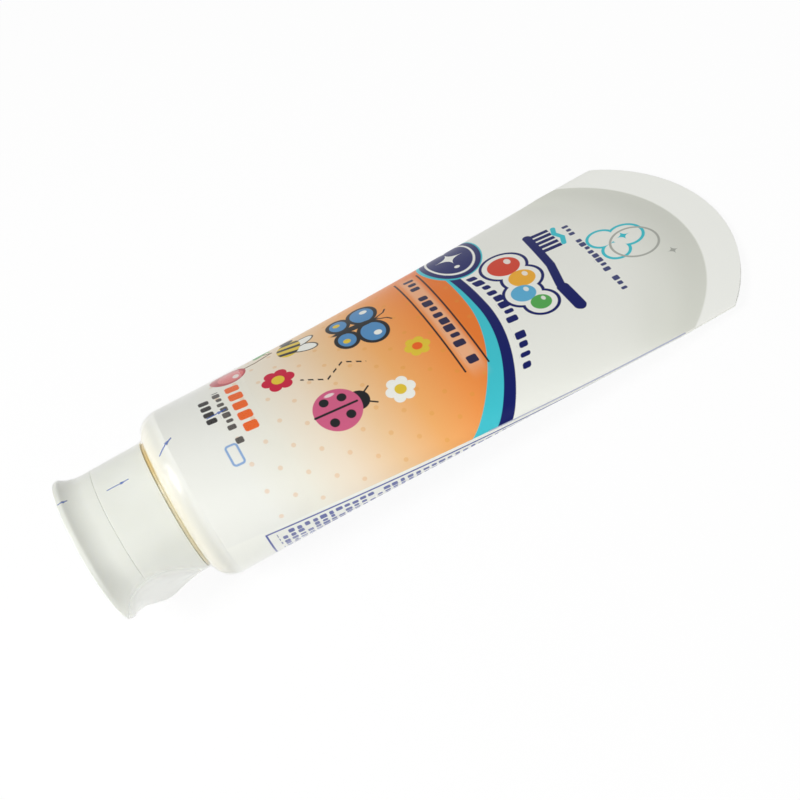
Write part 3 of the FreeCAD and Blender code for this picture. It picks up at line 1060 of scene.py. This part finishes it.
def turned(name, outline_points, material, columns=192, bridge=None):
    """A mesh turned about the tube's axis from points (x, radius), closed at both ends. A bridge,
    (from x, to x, least radius), fills a groove at the hinge, on the back."""
    angle = np.linspace(-math.pi, math.pi, columns, endpoint=False)
    rings = []
    at_hinge = np.abs(angle) > math.pi - math.radians(HINGE_ANGLE / 2)
    for x, radius in outline_points:
        reach = np.full_like(angle, radius)
        if bridge and bridge[0] <= x <= bridge[1]:
            reach[at_hinge] = max(radius, bridge[2])
        rings.append(round_ring(x, reach, angle))
    marks = [print_marks(ring, angle * TUBE_RADIUS) for ring in rings]
    return built_mesh(name, rings, marks, 2 * math.pi * TUBE_RADIUS, material)


def arc_points(centre_x, centre_radius, size, start, end, count):
    """Points on an arc of an outline, by angle in degrees from +X."""
    found = []
    for angle in np.linspace(math.radians(start), math.radians(end), count):
        found.append((centre_x + size * math.cos(angle), centre_radius + size * math.sin(angle)))
    return found


FLARE_END = FOOT_HEIGHT + math.sqrt(FLARE_RADIUS ** 2 - (FLARE_RADIUS - FOOT_FLARE) ** 2)
FLARE_START = math.degrees(math.atan2(-(FLARE_RADIUS - FOOT_FLARE), FOOT_HEIGHT - FLARE_END))
NEAR_AXIS = 0.01
EDGE_ROUND = 0.3
RIM_ROUND = 0.12
LINE_DEPTH = 0.07
LINE_WIDTH = 0.08
LINE_LIP = 0.03
FLAT_MARGIN = 0.2
POCKET_DEPTH = 6.0


def flare_points(count):
    """The hollow flare between the cap's foot and its straight side."""
    centre = CAP_RADIUS + FLARE_RADIUS
    return arc_points(FLARE_END, centre, FLARE_RADIUS, FLARE_START + 2, -90, count)


def cap_outline():
    """Outside of the closed cap from its end face to its open edge, then up the inside."""
    groove = CAP_RADIUS - LINE_DEPTH
    lip = CAP_RADIUS - LINE_LIP
    soft = LINE_LIP * 0.3
    base = LID_HEIGHT + LINE_WIDTH
    inner = CAP_RADIUS - CAP_WALL
    found = [(0.0, NEAR_AXIS), (0.0, 9.0)]
    found += arc_points(EDGE_ROUND, FOOT_RADIUS - EDGE_ROUND, EDGE_ROUND, 180, 90, 6)
    found += [(FOOT_HEIGHT - 0.15, FOOT_RADIUS), (FOOT_HEIGHT, FOOT_RADIUS - 0.03)]
    found += flare_points(16)
    found += [(LID_HEIGHT - FLAT_MARGIN, CAP_RADIUS), (LID_HEIGHT - LINE_LIP, CAP_RADIUS)]
    found += [(LID_HEIGHT - soft, CAP_RADIUS - soft), (LID_HEIGHT, lip), (LID_HEIGHT, groove)]
    found += [(base, groove), (base, lip), (base + soft, CAP_RADIUS - soft)]
    found += [(base + LINE_LIP, CAP_RADIUS), (base + FLAT_MARGIN, CAP_RADIUS)]
    found += [(CAP_LENGTH - RIM_ROUND - FLAT_MARGIN, CAP_RADIUS)]
    found += arc_points(CAP_LENGTH - RIM_ROUND, CAP_RADIUS - RIM_ROUND, RIM_ROUND, 90, 0, 6)
    found += [(CAP_LENGTH, inner), (CAP_LENGTH - POCKET_DEPTH, inner)]
    found += [(CAP_LENGTH - POCKET_DEPTH, NEAR_AXIS)]
    return found


STEP_DROP = 0.3
STEP_GAP = 0.04


def head_outline():
    """Nozzle, step, shoulder and its round corner, then back inside to the axis."""
    step = CAP_RADIUS - STEP_DROP
    step_start = CAP_LENGTH + STEP_GAP
    end = SLEEVE_START + 0.02
    found = [(9.0, NEAR_AXIS), (9.0, NECK_RADIUS), (step_start, NECK_RADIUS)]
    found += [(step_start, step - 0.05), (step_start + 0.05, step), (SHOULDER_PLANE, step)]
    middle = TUBE_RADIUS - SHOULDER_CORNER
    found += arc_points(SLEEVE_START, middle, SHOULDER_CORNER, 180, 90, 24)
    found += [(end, TUBE_RADIUS), (end, TUBE_RADIUS - SLEEVE_WALL), (end, NEAR_AXIS)]
    return found


FILM_COLUMNS = 360
FOLD_ANGLE = math.radians(131)
FOLD_BACK = math.radians(7)
FOLD_X = 8.0
FOLD_REACH = 3.9
FOLD_LIFT = 1.25


def film_lift(x, angle):
    """How far the film stands off what it wraps, in mm, at a place along and an angle round."""
    place = Vector((x * 0.22, math.sin(angle) * 2.2, math.cos(angle) * 2.2))
    fine = abs(noise.noise(place * 1.6)) * 0.16
    fine *= 1 - 0.8 * float(smooth_step((x - SHOULDER_PLANE - 2.0) / 4.0))
    pleats = max(0.0, math.sin(angle * 31 + 3 * noise.noise(place))) ** 3
    shoulder = math.exp(-((x - SHOULDER_PLANE - 1.0) / 1.8) ** 2)
    fold = FOLD_LIFT * math.exp(-((x - FOLD_X) / FOLD_REACH) ** 2)
    past = angle - FOLD_ANGLE
    if past > 0:
        fold *= math.exp(-(past / FOLD_BACK) ** 2)
    else:
        reach = math.acos(CAP_RADIUS / (CAP_RADIUS + fold))
        fold = CAP_RADIUS / math.cos(max(0.0, past + reach)) - CAP_RADIUS
    ease = float(smooth_step((x - 0.8) / 2.0)) * float(smooth_step((FILM_LENGTH - x) / 3.0))
    return (fine + 0.18 * pleats * shoulder + fold) * ease


# The film's inner face takes its print places from beyond the print, so it stays clear

UNMARKED = 1000.0


def film_piece(material):
    """The shrink film from the cap's end face over the shoulder to the sleeve."""
    girth = np.linspace(-HALF_SEAL, 3 * HALF_SEAL, FILM_COLUMNS, endpoint=False)
    angle = girth / HALF_SEAL * math.pi / 2
    middle = TUBE_RADIUS - SHOULDER_CORNER
    profile = [(0.02, FOOT_RADIUS), (0.4, FOOT_RADIUS), (FOOT_HEIGHT - 0.1, FOOT_RADIUS)]
    profile += flare_points(14)
    profile += [(x, CAP_RADIUS) for x in np.linspace(FLARE_END + 0.5, CAP_LENGTH + 0.2, 28)]
    meeting = math.degrees(math.acos((CAP_RADIUS - middle) / SHOULDER_CORNER))
    profile += arc_points(SLEEVE_START, middle, SHOULDER_CORNER, 90 + meeting - 4, 92, 22)
    bend = 4 * INNER_ARCH * (FILM_LENGTH - SLEEVE_START)
    last_share = (math.sqrt(BODY_LENGTH ** 2 + bend) - BODY_LENGTH) / (2 * INNER_ARCH)
    base = [round_ring(x, radius, angle) for x, radius in profile]
    base += [ring_points(share, girth=girth) for share in np.linspace(0.0, last_share, 26)]

    def layer(outset):
        rings = []
        for ring in base:
            lift = np.array([film_lift(x, a) for x, a in zip(ring[:, 0], angle)]) + outset
            reach = np.hypot(ring[:, 1], ring[:, 2])
            scale = ((reach + lift) / reach)[:, None]
            rings.append(np.hstack([ring[:, :1], ring[:, 1:] * scale]))
        return rings

    outer = layer(FILM_FIT + FILM_WALL)
    inner = layer(FILM_FIT)
    rings = outer + inner[::-1] + outer[:1]
    marks = [print_marks(ring, girth) for ring in rings]
    for mark in marks[len(outer):-1]:
        mark[:, 0] += UNMARKED
    return built_mesh("clear_shrink_wrap", rings, marks, 4 * HALF_SEAL, material, open_ends=True)


def dress(piece, node):
    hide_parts(node)
    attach(piece, "root")


# Camera, light and floor

CAMERA_PLACE = (39.702, -187.778, 173.478)
CAMERA_RIGHT = (0.8680196, -0.3921741, -0.3045348)
CAMERA_DOWN = (-0.4890836, -0.5694858, -0.6606687)
CAMERA_FORWARD = (0.0856689, 0.7224163, -0.6861308)
LENS = 63.0
SENSOR = 36.0


def add_camera():
    data = bpy.data.cameras.new("camera")
    data.lens = LENS
    data.sensor_width = SENSOR
    data.clip_start = 0.01
    data.clip_end = 20.0
    camera = bpy.data.objects.new("camera", data)
    bpy.context.scene.collection.objects.link(camera)
    axes = [Vector(CAMERA_RIGHT), -Vector(CAMERA_DOWN), -Vector(CAMERA_FORWARD)]
    turn = TUBE_AXES @ Matrix(axes).transposed()
    camera.matrix_world = Matrix.Translation(TUBE_TO_ROW @ Vector(CAMERA_PLACE)) @ turn.to_4x4()
    bpy.context.scene.camera = camera


LAMP_AIM = (0, 0, 0.015)


def add_lamp(name, place, size_x, size_y, power):
    """A soft oblong lamp that looks at the middle of the tube."""
    data = bpy.data.lights.new(name, "AREA")
    data.shape = "RECTANGLE"
    data.size = size_x
    data.size_y = size_y
    data.energy = power
    lamp = bpy.data.objects.new(name, data)
    lamp.location = place
    lamp.rotation_mode = "QUATERNION"
    lamp.rotation_quaternion = (Vector(LAMP_AIM) - Vector(place)).to_track_quat("-Z", "Y")
    bpy.context.scene.collection.objects.link(lamp)


def seen_share(tree):
    """One for camera, glossy and transmission rays."""
    path = tree.nodes.new("ShaderNodeLightPath")
    seen = Field(tree, path.outputs["Is Camera Ray"])
    seen = seen.most(Field(tree, path.outputs["Is Glossy Ray"]))
    return seen.most(Field(tree, path.outputs["Is Transmission Ray"]))


# What the floor shows of its own even white, the rest being lit, and the strength of the
# world's light where it isn't seen

FLOOR_GLOW = 0.93
WORLD_LIGHT = 0.42


def add_floor():
    """A white floor that keeps a faint shadow."""
    mesh = bpy.data.meshes.new("floor")
    reach = 3.0
    corners = [(-reach, -reach, 0), (reach, -reach, 0), (reach, reach, 0), (-reach, reach, 0)]
    mesh.from_pydata(corners, [], [(0, 1, 2, 3)])
    floor = bpy.data.objects.new("floor", mesh)
    bpy.context.scene.collection.objects.link(floor)
    material, tree, shader = new_material("floor_white")
    shader.inputs["Base Color"].default_value = (0.95, 0.95, 0.95, 1.0)
    shader.inputs["Roughness"].default_value = 0.9
    shader.inputs["Specular IOR Level"].default_value = 0.1
    glow = tree.nodes.new("ShaderNodeEmission")
    glow.inputs["Strength"].default_value = 1.0
    share = seen_share(tree) * FLOOR_GLOW
    finished(tree, mixed_shaders(tree, share, shader.outputs[0], glow.outputs[0]))
    mesh.materials.append(material)


def add_world():
    world = bpy.data.worlds.new("studio")
    bpy.context.scene.world = world
    world.use_nodes = True
    tree = world.node_tree
    shader = next(node for node in tree.nodes if node.type == "BACKGROUND")
    shader.inputs["Color"].default_value = (1.0, 1.0, 1.0, 1.0)
    strength = between(tree, seen_share(tree), 0.0, 1.0, WORLD_LIGHT, 1.0)
    joined(tree, strength, shader.inputs["Strength"])


bpy.context.scene.view_settings.view_transform = "Standard"
add_camera()
add_world()
add_floor()
add_lamp("key", (-0.36, -0.10, 0.44), 0.22, 0.22, 2.1)
add_lamp("fill", (0.0, -0.53, 0.22), 0.9, 0.42, 0.62)
add_lamp("low_strip", (-0.53, 0.10, 0.15), 0.04, 0.2, 0.2)

dress(sleeve_piece(print_material()), "filled_sleeve")
hinge_bridge = (LID_HEIGHT, LID_HEIGHT + LINE_WIDTH, CAP_RADIUS - LINE_LIP)
cap = turned("flip_top_cap", cap_outline(), cap_material(), bridge=hinge_bridge)
dress(cap, "flip_cap")
dress(turned("shoulder_and_nozzle", head_outline(), head_material()), "tube_head")
dress(film_piece(film_material()), "shrink_film")
